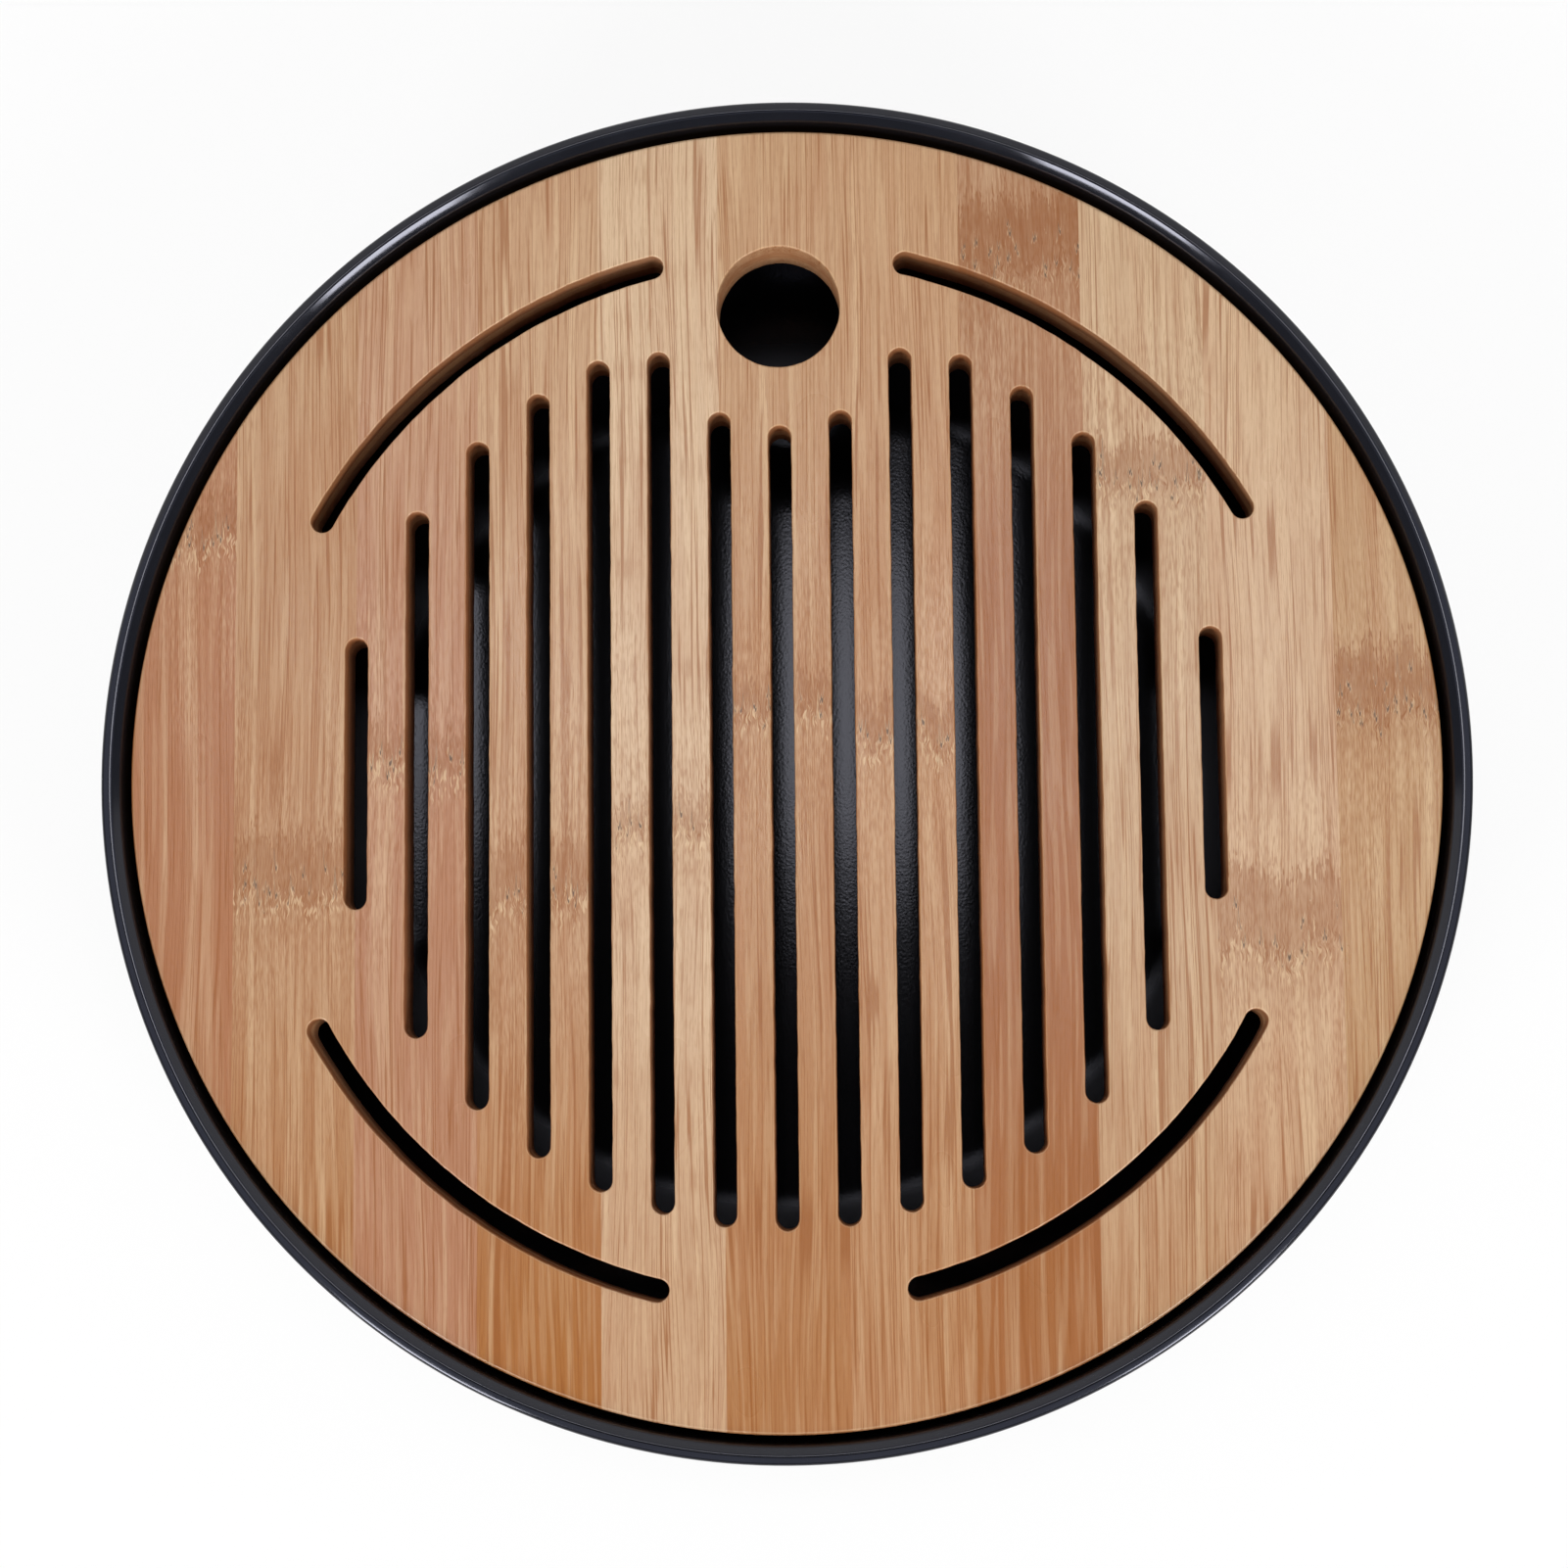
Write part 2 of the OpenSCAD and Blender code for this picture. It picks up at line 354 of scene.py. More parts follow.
def draw_curved_slot(bm, start, end, middle, radius, z):
    """A curved slot's outline between two angles."""
    steps = round((end - start) * middle / SIDE_STEP)
    begin, finish = [Vector((math.cos(a), math.sin(a), 0)) for a in (start, end)]
    level = UP * z
    pen = Pen(bm, begin * (middle + radius) + level)
    pen.arc(level, UP, end - start, steps)
    pen.arc(finish * middle + level, UP, math.pi, ROUND_STEPS)
    pen.arc(level, UP, start - end, steps)
    pen.arc(begin * middle + level, UP, math.pi, ROUND_STEPS)
    return pen.close()


def draw_circle(bm, centre, radius, z, steps):
    pen = Pen(bm, (centre[0] + radius, centre[1], z))
    pen.arc((centre[0], centre[1], z), UP, 2 * math.pi, steps)
    return pen.close()


def board_openings(size):
    """One drawing function for each slot and the hole: it takes a growth and a height."""
    radius = size.slot_width / 2
    relief = size.hole_width / 2 + size.hole_rib + radius
    hole = (0, size.hole_place)
    last = (size.slot_count - 1) // 2
    openings = []
    for k in range(-last, last + 1):
        x = k * size.slot_pitch
        low = -math.sqrt(size.slot_field ** 2 - x ** 2)
        high = -low
        if abs(x) < relief:
            high = min(high, size.hole_place - math.sqrt(relief ** 2 - x ** 2))
        openings.append(
            lambda bm, grow, z, x=x, low=low, high=high:
            draw_slot(bm, x, low, high, radius + grow, z)
        )
    half = math.pi
    start, end = [math.asin(y / size.curved_radius) for y in (size.curved_low, size.curved_high)]
    for a0, a1 in (
        (start, end), (half - end, half - start), (half + start, half + end), (-end, -start)
    ):
        openings.append(
            lambda bm, grow, z, a0=a0, a1=a1:
            draw_curved_slot(bm, a0, a1, size.curved_radius, radius + grow, z)
        )
    openings.append(
        lambda bm, grow, z: draw_circle(bm, hole, size.hole_width / 2 + grow, z, 95)
    )
    return openings


def rounded_levels(low, high, round_low, round_high, radius, steps=3):
    """Heights and growths of a ply's edge, with its lower or upper arris rounded."""
    quarter = [math.pi / 2 * i / steps for i in range(steps + 1)]
    lower = [(low + radius * (1 - math.sin(a)), radius * (1 - math.cos(a))) for a in quarter]
    upper = [(high - radius * (1 - math.sin(a)), radius * (1 - math.cos(a))) for a in quarter]
    first = lower[::-1] if round_low else [(low, 0)]
    last = upper if round_high else [(high, 0)]
    return first + last


def add_wall(ply, draw, levels):
    """Bridges an outline from level to level in a small mesh and adds it to the ply."""
    bm = bmesh.new()
    loops = [draw(bm, grow, z) for z, grow in levels]
    for lower, upper in zip(loops, loops[1:]):
        bmesh.ops.bridge_loops(bm, edges=lower + upper)
    wall = bpy.data.meshes.new("wall")
    bm.to_mesh(wall)
    bm.free()
    ply.from_mesh(wall)
    bpy.data.meshes.remove(wall)


def ply_body(size, low, high, round_low, round_high):
    """One whole ply of the board with every slot and the finger hole, as a closed body."""
    bm = bmesh.new()
    levels = rounded_levels(low, high, round_low, round_high, size.arris)
    for opening in board_openings(size):
        add_wall(bm, opening, levels)
    # Without a seed of its own the noise takes the clock's
    noise.seed_set(WANDER_SEED)
    for vert in bm.verts:
        place = Vector((vert.co.x, vert.co.y, 0)) / (3.5 * MM)
        drift = noise.noise_vector(place) + 0.5 * noise.noise_vector(place * 2.7)
        vert.co += size.cut_wander * Vector((drift.x, drift.y, 0))
    add_wall(
        bm,
        lambda wall, grow, z: draw_circle(wall, (0, 0), board_radius() - grow, z, EDGE_STEPS),
        rounded_levels(low, high, round_low, round_high, size.edge_round),
    )
    for z, facing in ((low, -UP), (high, UP)):
        open_edges = [
            e for e in bm.edges
            if e.is_boundary and all(abs(v.co.z - z) < 1e-6 for v in e.verts)
        ]
        bmesh.ops.triangle_fill(bm, edges=open_edges, use_beauty=True, normal=facing)
        for edge in open_edges:
            edge.smooth = False
    return bm


def strip_of(ply, axis, low, high):
    """The part of a ply between two glue lines, with its cut faces filled."""
    bm = ply.copy()
    for place, outward in ((low, -axis), (high, axis)):
        cut = bmesh.ops.bisect_plane(
            bm,
            geom=bm.verts[:] + bm.edges[:] + bm.faces[:],
            dist=1e-7,
            plane_co=axis * place,
            plane_no=outward,
            clear_outer=True,
        )
        edges = [e for e in cut["geom_cut"] if isinstance(e, bmesh.types.BMEdge)]
        if edges:
            bmesh.ops.triangle_fill(bm, edges=edges, use_beauty=True, normal=outward)
    return bm


def bamboo(name, look, seed, finish, wall_colour, finger_hole, grain_turn=0.0):
    """Carbonised bamboo, flat-pressed, sanded and oiled to a satin.

    Cut bundles of fibre show as fine dark lines that run the strip's length, and as short
    dashes near the knuckle, where the saw crosses them. The knuckle itself is a jagged line
    with a streaky stain, pale torn flecks and dark root dots.
    """
    tone, knuckle_y, stain_height, brown, fade = look
    material, node = new_material(name)
    coordinates = node("TexCoord", out=None)
    place = node("Mapping", {
        "Vector": coordinates["Object"],
        "Location": (0, 0, seed * 37.0),
        "Rotation": (0, 0, grain_turn),
        "Scale": (1 / MM, 1 / MM, 1 / MM),
    })

    def drawn(point, width, length, detail=0.0):
        """Noise drawn out along the grain into shapes of this width and length in mm."""
        shrunk = node(
            "VectorMath", (point, (1 / width, 1 / length, 1 / width)), operation="MULTIPLY"
        )
        return node(
            "TexNoise", {"Vector": shrunk, "Scale": 1.0, "Detail": detail}, out="Fac"
        )

    def threads(point, width, length, edge):
        """Thin lines along the grain, about this width apart, with this soft edge."""
        level = node("Math", (drawn(point, width, length), 0.5), operation="SUBTRACT")
        level = node("Math", (level,), operation="ABSOLUTE")
        return node("MapRange", (level, 0.2 * edge, edge, 1.0, 0.0), **SOFT)

    def times(*factors):
        """The product of several shares."""
        result = factors[0]
        for factor in factors[1:]:
            result = node("Math", (result, factor), operation="MULTIPLY")
        return result

    # The knuckle's ragged line, and how close to it a point is
    x, y, z = node("SeparateXYZ", (place,), out=None)
    ragged = node("MapRange", (drawn(place, 3.2, 60, 2.0), 0.3, 0.7, -3.0, 3.0))
    scallop = node("TexVoronoi", {"W": times(x, 1 / 2.7)}, "Distance", voronoi_dimensions="1D")
    arch = times(scallop, scallop, 7.0)
    above = node("Math", (y, knuckle_y), operation="SUBTRACT")
    above = node("Math", (above, ragged), operation="ADD")
    above = node("Math", (above, arch), operation="SUBTRACT")
    away = node("Math", (above,), operation="ABSOLUTE")
    near = node("MapRange", (away, 0.5, 7.0, 1.0, 0.0), **SOFT)

    # Fibres sway, and swirl round the root dots
    sway = node("MapRange", (drawn(place, 14, 70), 0.2, 0.8, -0.9, 0.9))
    swirl = node("MapRange", (drawn(place, 1.3, 1.8), 0.2, 0.8, -0.36, 0.36))
    bent = node("Math", (x, sway), operation="ADD")
    bent = node("Math", (bent, times(swirl, near)), operation="ADD")
    fibres = node("CombineXYZ", (bent, y, z))

    # Long lines away from the knuckle, short dashes near it
    wander = node("MapRange", (drawn(place, 8, 30, 1.0), 0.3, 0.7, -18.0, 18.0))
    reach = node("Math", (away, wander), operation="ADD")
    broken = node("MapRange", (reach, 8.0, 44.0, 1.0, 0.0), **SOFT)
    whole = node("Math", (1.0, broken), operation="SUBTRACT")
    dashes = drawn(fibres, 0.22, 2.1)
    bands = drawn(fibres, 2.4, 150, 1.0)
    clouds = drawn(place, 16, 42, 1.0)
    lit = drawn(fibres, 0.9, 30)
    lines = times(
        threads(fibres, 0.80, 90, 0.062), node("MapRange", (lit, 0.34, 0.52), **SOFT)
    )
    gaps = node("MapRange", (lit, 0.46, 0.30), **SOFT)
    fine = threads(fibres, 0.36, 20, 0.080)
    pores = node("MapRange", (dashes, 0.55, 0.68), **SOFT)
    glints = node("MapRange", (dashes, 0.46, 0.30), **SOFT)
    fibre, pith_and_highlight, blush, stain, root = (
        (*colour, 1.0)
        for colour in (finish.fibre, finish.pith_and_highlight, finish.blush, finish.knuckle, finish.root)
    )
    front = node("MapRange", (y, -20.0, -115.0, 0.0, 0.6 * fade), **SOFT)
    back = node("MapRange", (y, 20.0, 115.0, 0.0, 0.22), **SOFT)
    layers = [
        (front, linear("#a46526")),
        (back, pith_and_highlight),
        (times(node("MapRange", (bands, 0.50, 0.75), **SOFT), 0.17), blush),
        (times(node("MapRange", (bands, 0.50, 0.25), **SOFT), 0.22), pith_and_highlight),
        (times(node("MapRange", (clouds, 0.50, 0.72), **SOFT), 0.16), blush),
        (times(gaps, 0.12), pith_and_highlight),
        (times(fine, 0.30), fibre),
        (times(lines, node("MapRange", (whole, 0.0, 1.0, 0.34, 0.66))), fibre),
        (times(pores, node("MapRange", (broken, 0.0, 1.0, 0.10, 0.30))), fibre),
        (times(glints, broken, 0.12), pith_and_highlight),
    ]

    # A stained band stands above the knuckle line, mottled and ragged at both edges
    streak = node("MapRange", (drawn(fibres, 0.7, 12), 0.3, 0.7, -1.6, 1.6))
    streaked = node("Math", (above, streak), operation="ADD")
    over = node("Math", (streaked, stain_height), operation="SUBTRACT")
    upper = node("MapRange", (over, -3.0, 1.5, 1.0, 0.0), **SOFT)
    lower = node("MapRange", (streaked, -1.5, 1.5), **SOFT)
    mottle = node("MapRange", (drawn(place, 2.6, 3.4, 2.0), 0.3, 0.7, 0.55, 1.0))
    layers.append((times(upper, lower, mottle, 0.20 + 0.40 * brown), stain))
    fringe = node("MapRange", (streaked, -stain_height, -1.0), **SOFT)
    layers.append((times(fringe, upper, 0.16 + 0.12 * brown), stain))

    # Cut bundles end in a row of short dark dashes at each edge of the band
    ends = node("MapRange", (drawn(fibres, 0.30, 1.5), 0.50, 0.64), **SOFT)
    for edge in (streaked, over):
        beside = node("Math", (edge,), operation="ABSOLUTE")
        beside = node("MapRange", (beside, 0.6, 2.2, 1.0, 0.0), **SOFT)
        layers.append((times(ends, beside, 0.42 + 0.26 * brown), stain))

    # Pale torn flecks hang below the line
    hanging = node("MapRange", (above, -7.0, -1.0), **SOFT)
    hanging = times(hanging, node("MapRange", (above, 1.5, -0.5), **SOFT))
    torn = node("MapRange", (drawn(fibres, 0.30, 2.0), 0.52, 0.66), **SOFT)
    layers.append((times(torn, hanging, 0.60 - 0.46 * brown), pith_and_highlight))

    # Rows of root dots, each in a pale ring; the browner the knuckle, the more of them
    for row, chance in ((1.2, 0.35), (0.45 * stain_height, 0.85 - 0.45 * brown)):
        down = node("Math", (above, row), operation="SUBTRACT")
        spot = node("CombineXYZ", (times(x, 1 / 2.3), times(down, 1 / 2.8)))
        spot = node("VectorMath", (spot, (seed * 7.3, row, 0)), operation="ADD")
        cell = node(
            "TexVoronoi", {"Vector": spot, "Scale": 1.0, "Randomness": 0.8}, None,
            voronoi_dimensions="2D",
        )
        picked = node("MapRange", (cell["Color"], chance, chance + 0.05))
        level = node("Math", (down,), operation="ABSOLUTE")
        band = node("MapRange", (level, 1.8, 2.4, 1.0, 0.0))
        ring = node("MapRange", (cell["Distance"], 0.22, 0.34, 1.0, 0.0), **SOFT)
        dot = node("MapRange", (cell["Distance"], 0.11, 0.23, 1.0, 0.0), **SOFT)
        layers.append((times(ring, band, picked, 0.30), pith_and_highlight))
        layers.append((times(dot, band, picked, 0.80), root))

    body = linear(tone)
    for share, colour in layers:
        body = node(
            "Mix", {0: share, 6: body, 7: colour}, 2, data_type="RGBA"
        )

    # Painted shade: upright faces are mixed towards a darker, browner wall colour that stands in for
    # the shade and the reddish bounce light inside the narrow slots; the fibre streaks on it are
    # grain
    facing = node("SeparateXYZ", (coordinates["Normal"],), out=2)
    upright = node("MapRange", (node("Math", (facing,), operation="ABSOLUTE"), 0.35, 0.8, 1.0, 0.0))
    wall = node(
        "Mix", {0: times(pores, 0.5), 6: (*wall_colour, 1.0), 7: fibre}, 2, data_type="RGBA"
    )
    # Less of that painted shade on the finger hole's wall, which is wide and open to the light; the
    # slots keep the full dark brown
    hole_x, hole_y = finger_hole
    from_hole = node("VectorMath", (coordinates["Object"], (hole_x, hole_y, 0)), operation="SUBTRACT")
    from_hole = node("VectorMath", (from_hole, (1, 1, 0)), operation="MULTIPLY")
    from_hole = node("VectorMath", (from_hole,), "Value", operation="LENGTH")
    wall_shade_share = node("MapRange", (from_hole, 14 * MM, 16 * MM, 0.35, 0.8))
    wall = node("Mix", {0: wall_shade_share, 6: body, 7: wall}, 2, data_type="RGBA")
    body = node("Mix", {0: upright, 6: body, 7: wall}, 2, data_type="RGBA")

    # Painted highlight: the rounded arrises are mixed a little towards the pale pith colour, standing
    # in for the bright line that light draws along them
    arris_highlight = node("MapRange", (node("Math", (facing,), operation="ABSOLUTE"), 0.80, 0.90))
    arris_highlight = times(arris_highlight, node("MapRange", (facing, 0.998, 0.95)))
    body = node("Mix", {0: times(arris_highlight, 0.15), 6: body, 7: pith_and_highlight}, 2, data_type="RGBA")

    # Sanding leaves the lines and pores a few hundredths of a millimetre low
    height = node("Math", (times(lines, -0.6), times(pores, -0.7)), operation="ADD")
    height = node("Math", (height, times(torn, hanging, 0.8)), operation="ADD")
    bump = node("Bump", {"Height": height, "Strength": 0.5, "Distance": 0.04 * MM})
    rough = node("MapRange", (clouds, 0.3, 0.7, 0.27, 0.36))
    rough = node("Mix", {0: upright, 2: rough, 3: 0.6})
    surface = node("BsdfPrincipled", {
        "Base Color": body, "Roughness": rough, "IOR": 1.5, "Normal": bump,
    })
    node("OutputMaterial", {"Surface": surface}, None)
    return material


def strip_material(tray, ply, number):
    """The bamboo of one strip; below the top ply the looks come in another order."""
    if ply == "top":
        look, seed = STRIP_LOOKS[number - 1], number
    elif ply == "bottom":
        look, seed = STRIP_LOOKS[-number], number + 20
    else:
        look, seed = STRIP_LOOKS[(number * 4) % STRIPS], number + 40
    finish = tray.finish
    wall_colour, turn = finish.slot_wall_shade, 0.0
    if ply == "core":
        wall_colour, turn = finish.core, math.pi / 2
    name = f"sanded_bamboo_{ply}_{number:02d}"
    finger_hole = (0, tray.board.hole_place)
    return bamboo(name, look, seed, finish, wall_colour, finger_hole, turn)


def dish_material(tray):
    """Black melamine, compression moulded: polished walls, and a floor with a fine grain.

    The polished wall and rim give crisp narrow reflections; the pebbled floor, moulded
    against spark-eroded tooling, spreads the light into a dull grey bloom.
    """
    floor_radius = tray.dish.floor_radius
    floor_height = tray.dish.foot_height + tray.dish.floor_thickness
    material, node = new_material("black_melamine")
    place = node("TexCoord", out="Object")
    x, y, z = node("SeparateXYZ", (place,), out=None)
    reach = node("VectorMath", (node("CombineXYZ", (x, y)),), "Value", operation="LENGTH")
    inside = node("Math", (reach, board_radius()), operation="LESS_THAN")
    low = node("Math", (z, floor_height + tray.dish.basin_depth), operation="LESS_THAN")
    high = node("Math", (z, floor_height - 0.3 * MM), operation="GREATER_THAN")
    floor = node("Math", (low, high), operation="MULTIPLY")
    floor = node("Math", (floor, inside), operation="MULTIPLY")
    # Pebbles about 0.5 mm across, over a slow ripple from the mould
    pebbles = node(
        "TexVoronoi", {"Vector": place, "Scale": 1 / (0.5 * MM), "Smoothness": 1.0},
        "Distance", feature="SMOOTH_F1",
    )
    ripple = node("TexNoise", {"Vector": place, "Scale": 1 / (22 * MM), "Detail": 2.0})
    grained = node(
        "Bump", {"Height": pebbles, "Strength": floor, "Distance": 0.008 * MM}, invert=True
    )
    flowed = node("Bump", {
        "Height": ripple, "Strength": 0.2, "Distance": 0.08 * MM, "Normal": grained,
    })
    handled = node("TexNoise", {"Vector": place, "Scale": 1 / (9 * MM), "Detail": 4.0})
    polished = node("MapRange", (handled, 0.35, 0.75, 0.09, 0.15))
    turned = node("MapRange", (reach, floor_radius + 1 * MM, floor_radius + 5 * MM, 0.13, 0.36))
    risen = node("MapRange", (reach, floor_radius + 11 * MM, floor_radius + 17 * MM))
    inner = node("Mix", {0: risen, 2: turned, 3: 0.14})
    rough = node("Mix", {0: floor, 2: polished, 3: inner})
    gloss = node("Mix", {0: floor, 2: 0.5, 3: 0.24})
    colour = node(
        "Mix", {0: handled, 6: (*tray.finish.dish, 1.0), 7: linear("#101013")}, 2,
        data_type="RGBA",
    )
    surface = node("BsdfPrincipled", {
        "Base Color": colour, "Roughness": rough, "IOR": 1.5, "Normal": flowed,
        "Specular IOR Level": gloss, "Specular Tint": linear("#eeefff"),
    })
    node("OutputMaterial", {"Surface": surface}, None)
    return material


def white_stage(name):
    """Seamless paper: white to the camera and in reflections, and it takes soft shadows."""
    material, node = new_material(name)
    path = node("LightPath", out=None)
    seen = node("Math", (path["Is Camera Ray"], path["Is Glossy Ray"]), operation="MAXIMUM")
    seen = node("Math", (seen, path["Is Transmission Ray"]), operation="MAXIMUM")
    share = node("Math", (seen, 0.90), operation="MULTIPLY")
    fibre = node(
        "TexNoise", {"Vector": node("TexCoord", out="Object"), "Scale": 900.0}
    )
    paper = node("MapRange", (fibre, 0.0, 1.0, 0.90, 0.94))
    matt = node("BsdfDiffuse", {"Color": paper})
    glow = node("Emission", {"Strength": 1.0})
    both = node("MixShader", (share, matt, glow))
    node("OutputMaterial", {"Surface": both}, None)
    return material


class TEATRAY_OT_board(bpy.types.Operator):
    """Model the board's three plies and cut them into their glued strips"""

    bl_idname = "tea_tray.board"
    bl_label = "Bamboo board"

    def execute(self, context):
        tray = context.scene.tea_tray
        across, along = Vector((1, 0, 0)), Vector((0, 1, 0))
        for ply, axis in (("bottom", across), ("core", along), ("top", across)):
            low, high = (corner.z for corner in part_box(strip_name(ply, (STRIPS + 1) // 2)))
            body = ply_body(tray.board, low, high, ply == "bottom", ply == "top")
            for number in range(1, STRIPS + 1):
                name = strip_name(ply, number)
                strip = strip_of(body, axis, *strip_edges(number))
                material = strip_material(tray, ply, number)
                finished(strip, f"bamboo_{name}", "board", [name], material)
            body.free()
        return {"FINISHED"}


class TEATRAY_OT_dish(bpy.types.Operator):
    """Spin the dish from its moulded section"""

    bl_idname = "tea_tray.dish"
    bl_label = "Water dish"

    def execute(self, context):
        size = context.scene.tea_tray.dish
        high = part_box("water_dish")[1]
        board_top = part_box("top_strip_06")[1].z
        floor_z = size.foot_height + size.floor_thickness
        ledge_z = floor_z + size.basin_depth
        wall_r = board_radius() + size.board_gap
        ledge_r = wall_r - size.ledge_width
        crest_r = wall_r + size.lip_flare
        rim_r = high.x
        crest_z = high.z
        bead_z = crest_z - size.bead_height
        collar_r = wall_r + size.wall
        collar_z = ledge_z - size.wall
        rise, run = size.basin_depth, ledge_r - size.floor_radius
        bowl_r = (run * run + rise * rise) / (2 * rise)
        bowl = Vector((size.floor_radius, 0, floor_z + bowl_r))
        turn = Vector((0, -1, 0))

        bm = bmesh.new()
        pen = Pen(bm, (0, 0, floor_z))
        pen.line((size.floor_radius, 0, floor_z), 4)
        pen.arc(bowl, turn, math.asin(run / bowl_r), 36)
        pen.corners.append((pen.tip, 0.8 * MM))
        pen.corner((wall_r, 0, ledge_z), 1.0 * MM)
        pen.corner((wall_r, 0, board_top + size.lip_start), 2.2 * MM)
        pen.corner((crest_r, 0, crest_z), 0.7 * MM)
        pen.corner((rim_r, 0, crest_z - size.lip_drop), 1.0 * MM)
        pen.corner((rim_r, 0, bead_z), 0.6 * MM)
        pen.corner((collar_r, 0, bead_z - (rim_r - collar_r)), 0.5 * MM)
        pen.corner((collar_r, 0, collar_z), 1.6 * MM)
        shell = bowl_r + size.wall
        reach = math.sqrt(shell ** 2 - (bowl.z - collar_z) ** 2)
        pen.corner((size.floor_radius + reach, 0, collar_z), 2.0 * MM)
        pen.arc(bowl, turn, -math.asin(reach / shell), 36)
        pen.corner((size.foot_radius, 0, size.foot_height), 0.7 * MM)
        pen.corner((size.foot_radius, 0, 0), 0.7 * MM)
        pen.corner((size.foot_radius - size.foot_width, 0, 0), 0.7 * MM)
        pen.corner((size.foot_radius - size.foot_width, 0, size.foot_height), 0.7 * MM)
        pen.line((0, 0, size.foot_height), 4)
        pen.round_corners(6)
        bmesh.ops.spin(
            bm,
            geom=bm.verts[:] + bm.edges[:],
            cent=MIDDLE,
            axis=UP,
            angle=2 * math.pi,
            steps=TURN_STEPS,
            use_merge=True,
        )
        bmesh.ops.remove_doubles(bm, verts=bm.verts, dist=1e-6)
        material = dish_material(context.scene.tea_tray)
        finished(bm, "moulded_dish", "dish", ["water_dish"], material)
        return {"FINISHED"}


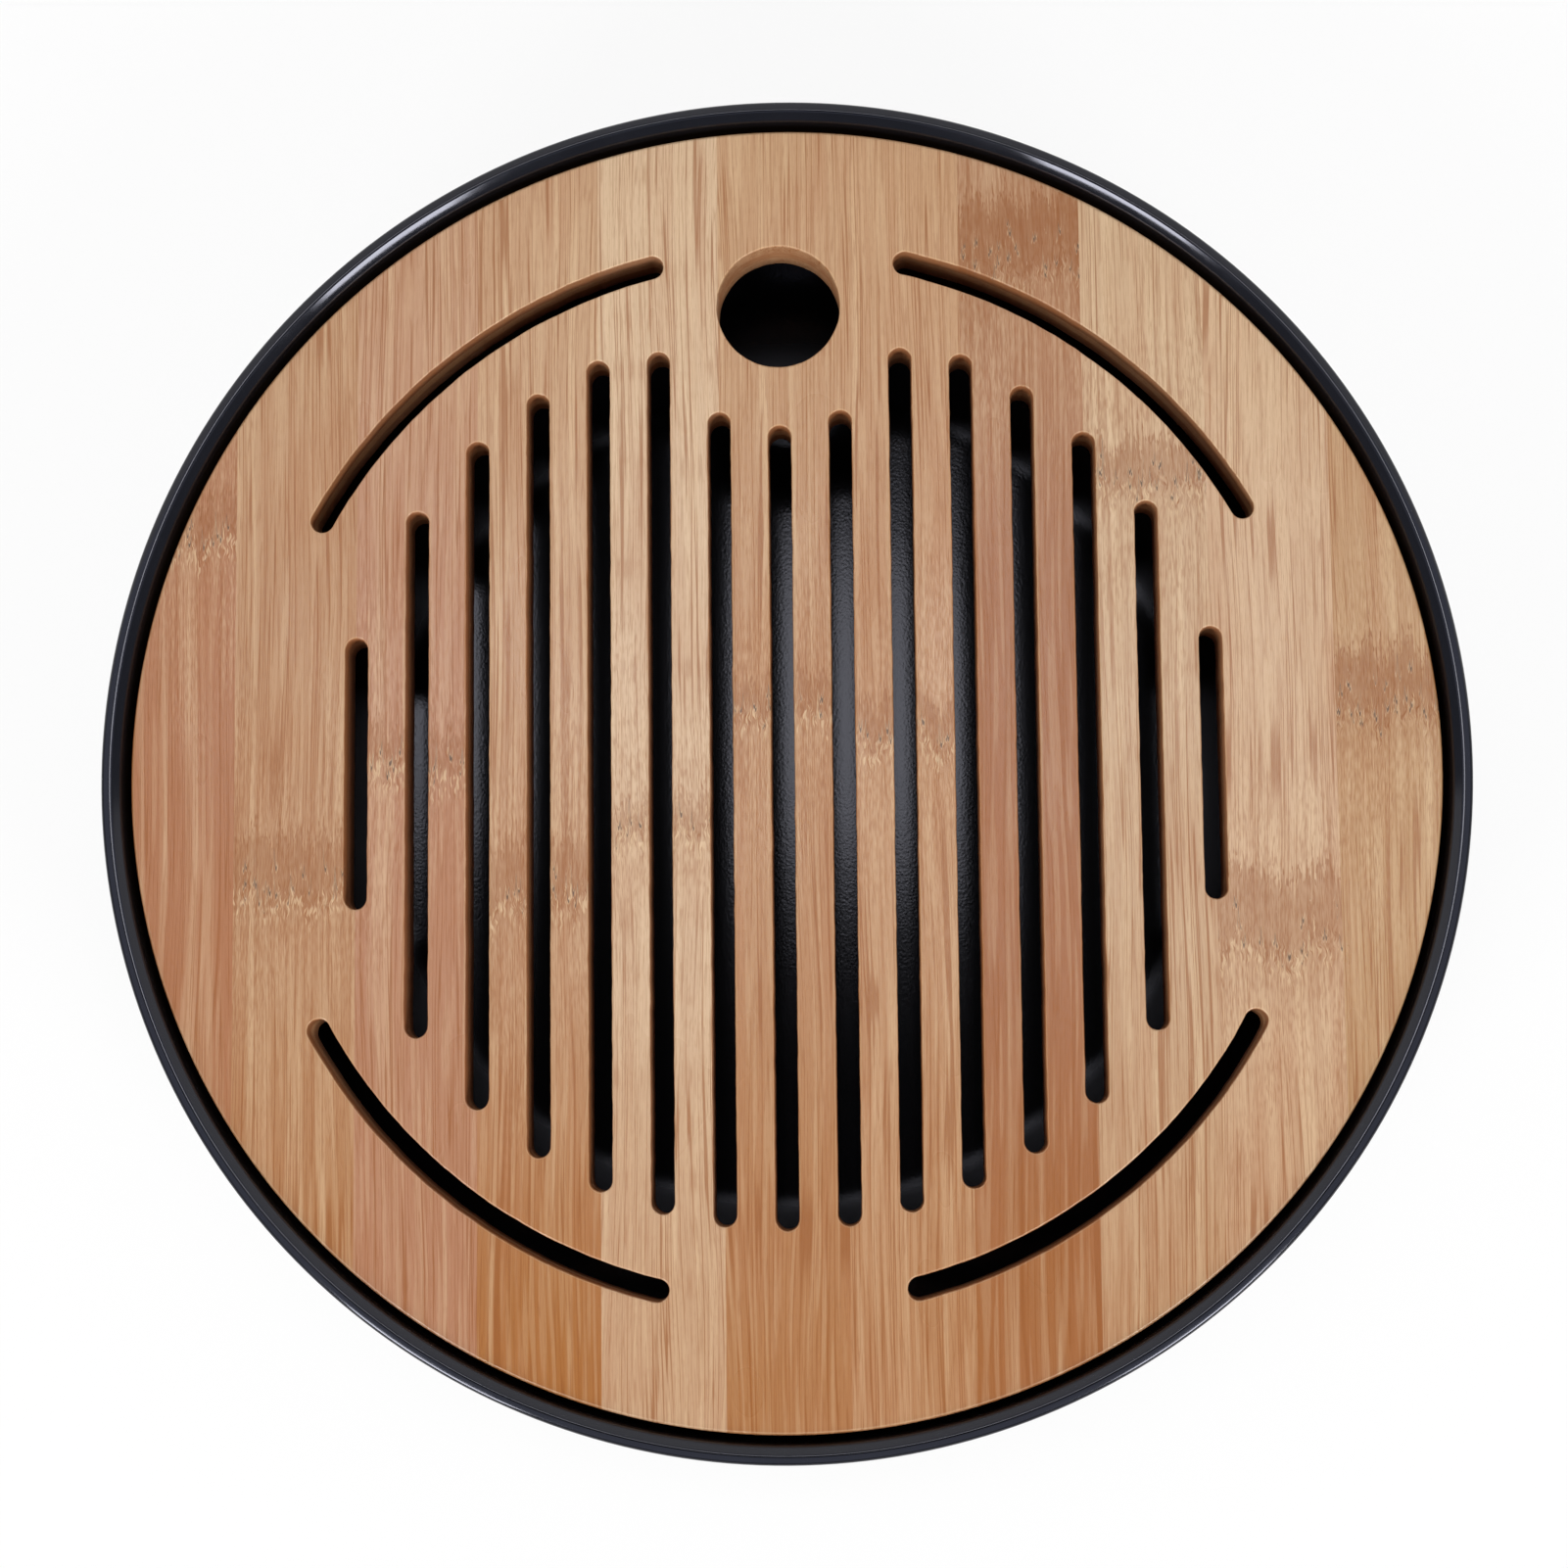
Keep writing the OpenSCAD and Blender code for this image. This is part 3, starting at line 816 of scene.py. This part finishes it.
class TEATRAY_OT_stage(bpy.types.Operator):
    """Set the white sweep, the soft lights and the camera"""

    bl_idname = "tea_tray.stage"
    bl_label = "Studio stage"

    def execute(self, context):
        studio = context.scene.tea_tray.studio
        scene = context.scene

        # A paper sweep: floor, a wide bend and a wall behind the tray
        bm = bmesh.new()
        half_width, bend_at, bend = 9.0, 1.0, 0.5
        pen = Pen(bm, (-half_width, -half_width, 0))
        pen.line((-half_width, bend_at, 0))
        pen.arc((-half_width, bend_at, bend), (1, 0, 0), math.pi / 2, 16)
        pen.line((-half_width, bend_at + bend, 2.6))
        wire = bmesh.ops.extrude_edge_only(bm, edges=bm.edges[:])
        moved = [v for v in wire["geom"] if isinstance(v, bmesh.types.BMVert)]
        bmesh.ops.translate(bm, verts=moved, vec=(2 * half_width, 0, 0))
        bmesh.ops.recalc_face_normals(bm, faces=bm.faces)
        mesh = bpy.data.meshes.new("sweep")
        bm.to_mesh(mesh)
        bm.free()
        mesh.shade_smooth()
        mesh.materials.append(white_stage("seamless_paper"))
        sweep = bpy.data.objects.new("sweep", mesh)
        scene.collection.objects.link(sweep)

        # Name, place, width, depth, brightness; each faces the tray
        lights = (
            ("overhead_softbox", (0.03, 0.32, 2.2), 1.3, 0.30, 7.4),
            ("left_softbox", (-0.76, -1.04, 0.77), 0.40, 0.50, 17.0),
            ("right_softbox", (0.81, -1.00, 0.77), 0.40, 0.50, 16.5),
        )
        for name, place, width, depth, brightness in lights:
            data = bpy.data.lights.new(name, "AREA")
            data.shape = "RECTANGLE"
            data.size = width
            data.size_y = depth
            data.energy = brightness * math.pi * width * depth
            lamp = bpy.data.objects.new(name, data)
            lamp.location = place
            lamp.rotation_euler = (-Vector(place)).to_track_quat("-Z", "Y").to_euler()
            scene.collection.objects.link(lamp)

        # A white tent: even fill, bright half way up in reflections and dark at its top
        world = bpy.data.worlds.new("tent")
        world.use_nodes = True
        world.node_tree.nodes.clear()
        node = partial(add, world.node_tree)
        path = node("LightPath", out=None)
        rise = node("SeparateXYZ", (node("TexCoord", out="Generated"),), out=2)
        lower = node("MapRange", (rise, 0.44, 0.60, 0.32, 1.0), **SOFT)
        upper = node("MapRange", (rise, 0.80, 0.91, 1.0, 0.02), **SOFT)
        tent = node("Math", (lower, upper), operation="MULTIPLY")
        level = node("Mix", {0: path["Is Glossy Ray"], 2: 0.36, 3: tent})
        strength = node("Mix", {0: path["Is Camera Ray"], 2: level, 3: 1.0})
        hue = node(
            "Mix", {0: path["Is Glossy Ray"], 6: (1, 1, 1, 1), 7: linear("#e4ebff")}, 2,
            data_type="RGBA",
        )
        sky = node("Background", {"Color": hue, "Strength": strength})
        node("OutputWorld", {"Surface": sky}, None)
        scene.world = world

        data = bpy.data.cameras.new("camera")
        data.sensor_width = 36
        data.lens = studio.camera_lens
        data.clip_start = 0.01
        camera = bpy.data.objects.new("camera", data)
        camera.location = studio.camera_place
        camera.rotation_euler = studio.camera_turn
        scene.collection.objects.link(camera)
        scene.camera = camera
        scene.view_settings.view_transform = "Standard"
        return {"FINISHED"}


class TEATRAY_PT_panel(bpy.types.Panel):
    """Sizes, finishes and the steps that make the tray"""

    bl_idname = "TEATRAY_PT_panel"
    bl_label = "Gongfu tea tray"
    bl_space_type = "VIEW_3D"
    bl_region_type = "UI"
    bl_category = "Tea tray"

    def draw(self, context):
        tray = context.scene.tea_tray
        for title, group, steps in (
            ("Board", tray.board, (TEATRAY_OT_board,)),
            ("Dish", tray.dish, (TEATRAY_OT_dish,)),
            ("Finish", tray.finish, ()),
            ("Studio", tray.studio, (TEATRAY_OT_stage,)),
        ):
            box = self.layout.box()
            box.label(text=title)
            for name in group.__annotations__:
                box.prop(group, name)
            for step in steps:
                box.operator(step.bl_idname)


CLASSES = (
    BoardSize,
    DishSize,
    Finish,
    Studio,
    TeaTray,
    TEATRAY_OT_board,
    TEATRAY_OT_dish,
    TEATRAY_OT_stage,
    TEATRAY_PT_panel,
)


def register():
    for cls in CLASSES:
        bpy.utils.register_class(cls)
    bpy.types.Scene.tea_tray = bpy.props.PointerProperty(type=TeaTray)


def unregister():
    del bpy.types.Scene.tea_tray
    for cls in reversed(CLASSES):
        bpy.utils.unregister_class(cls)


def main():
    register()
    bpy.ops.tea_tray.stage()
    bpy.ops.tea_tray.dish()
    bpy.ops.tea_tray.board()


if __name__ == "__main__":
    main()
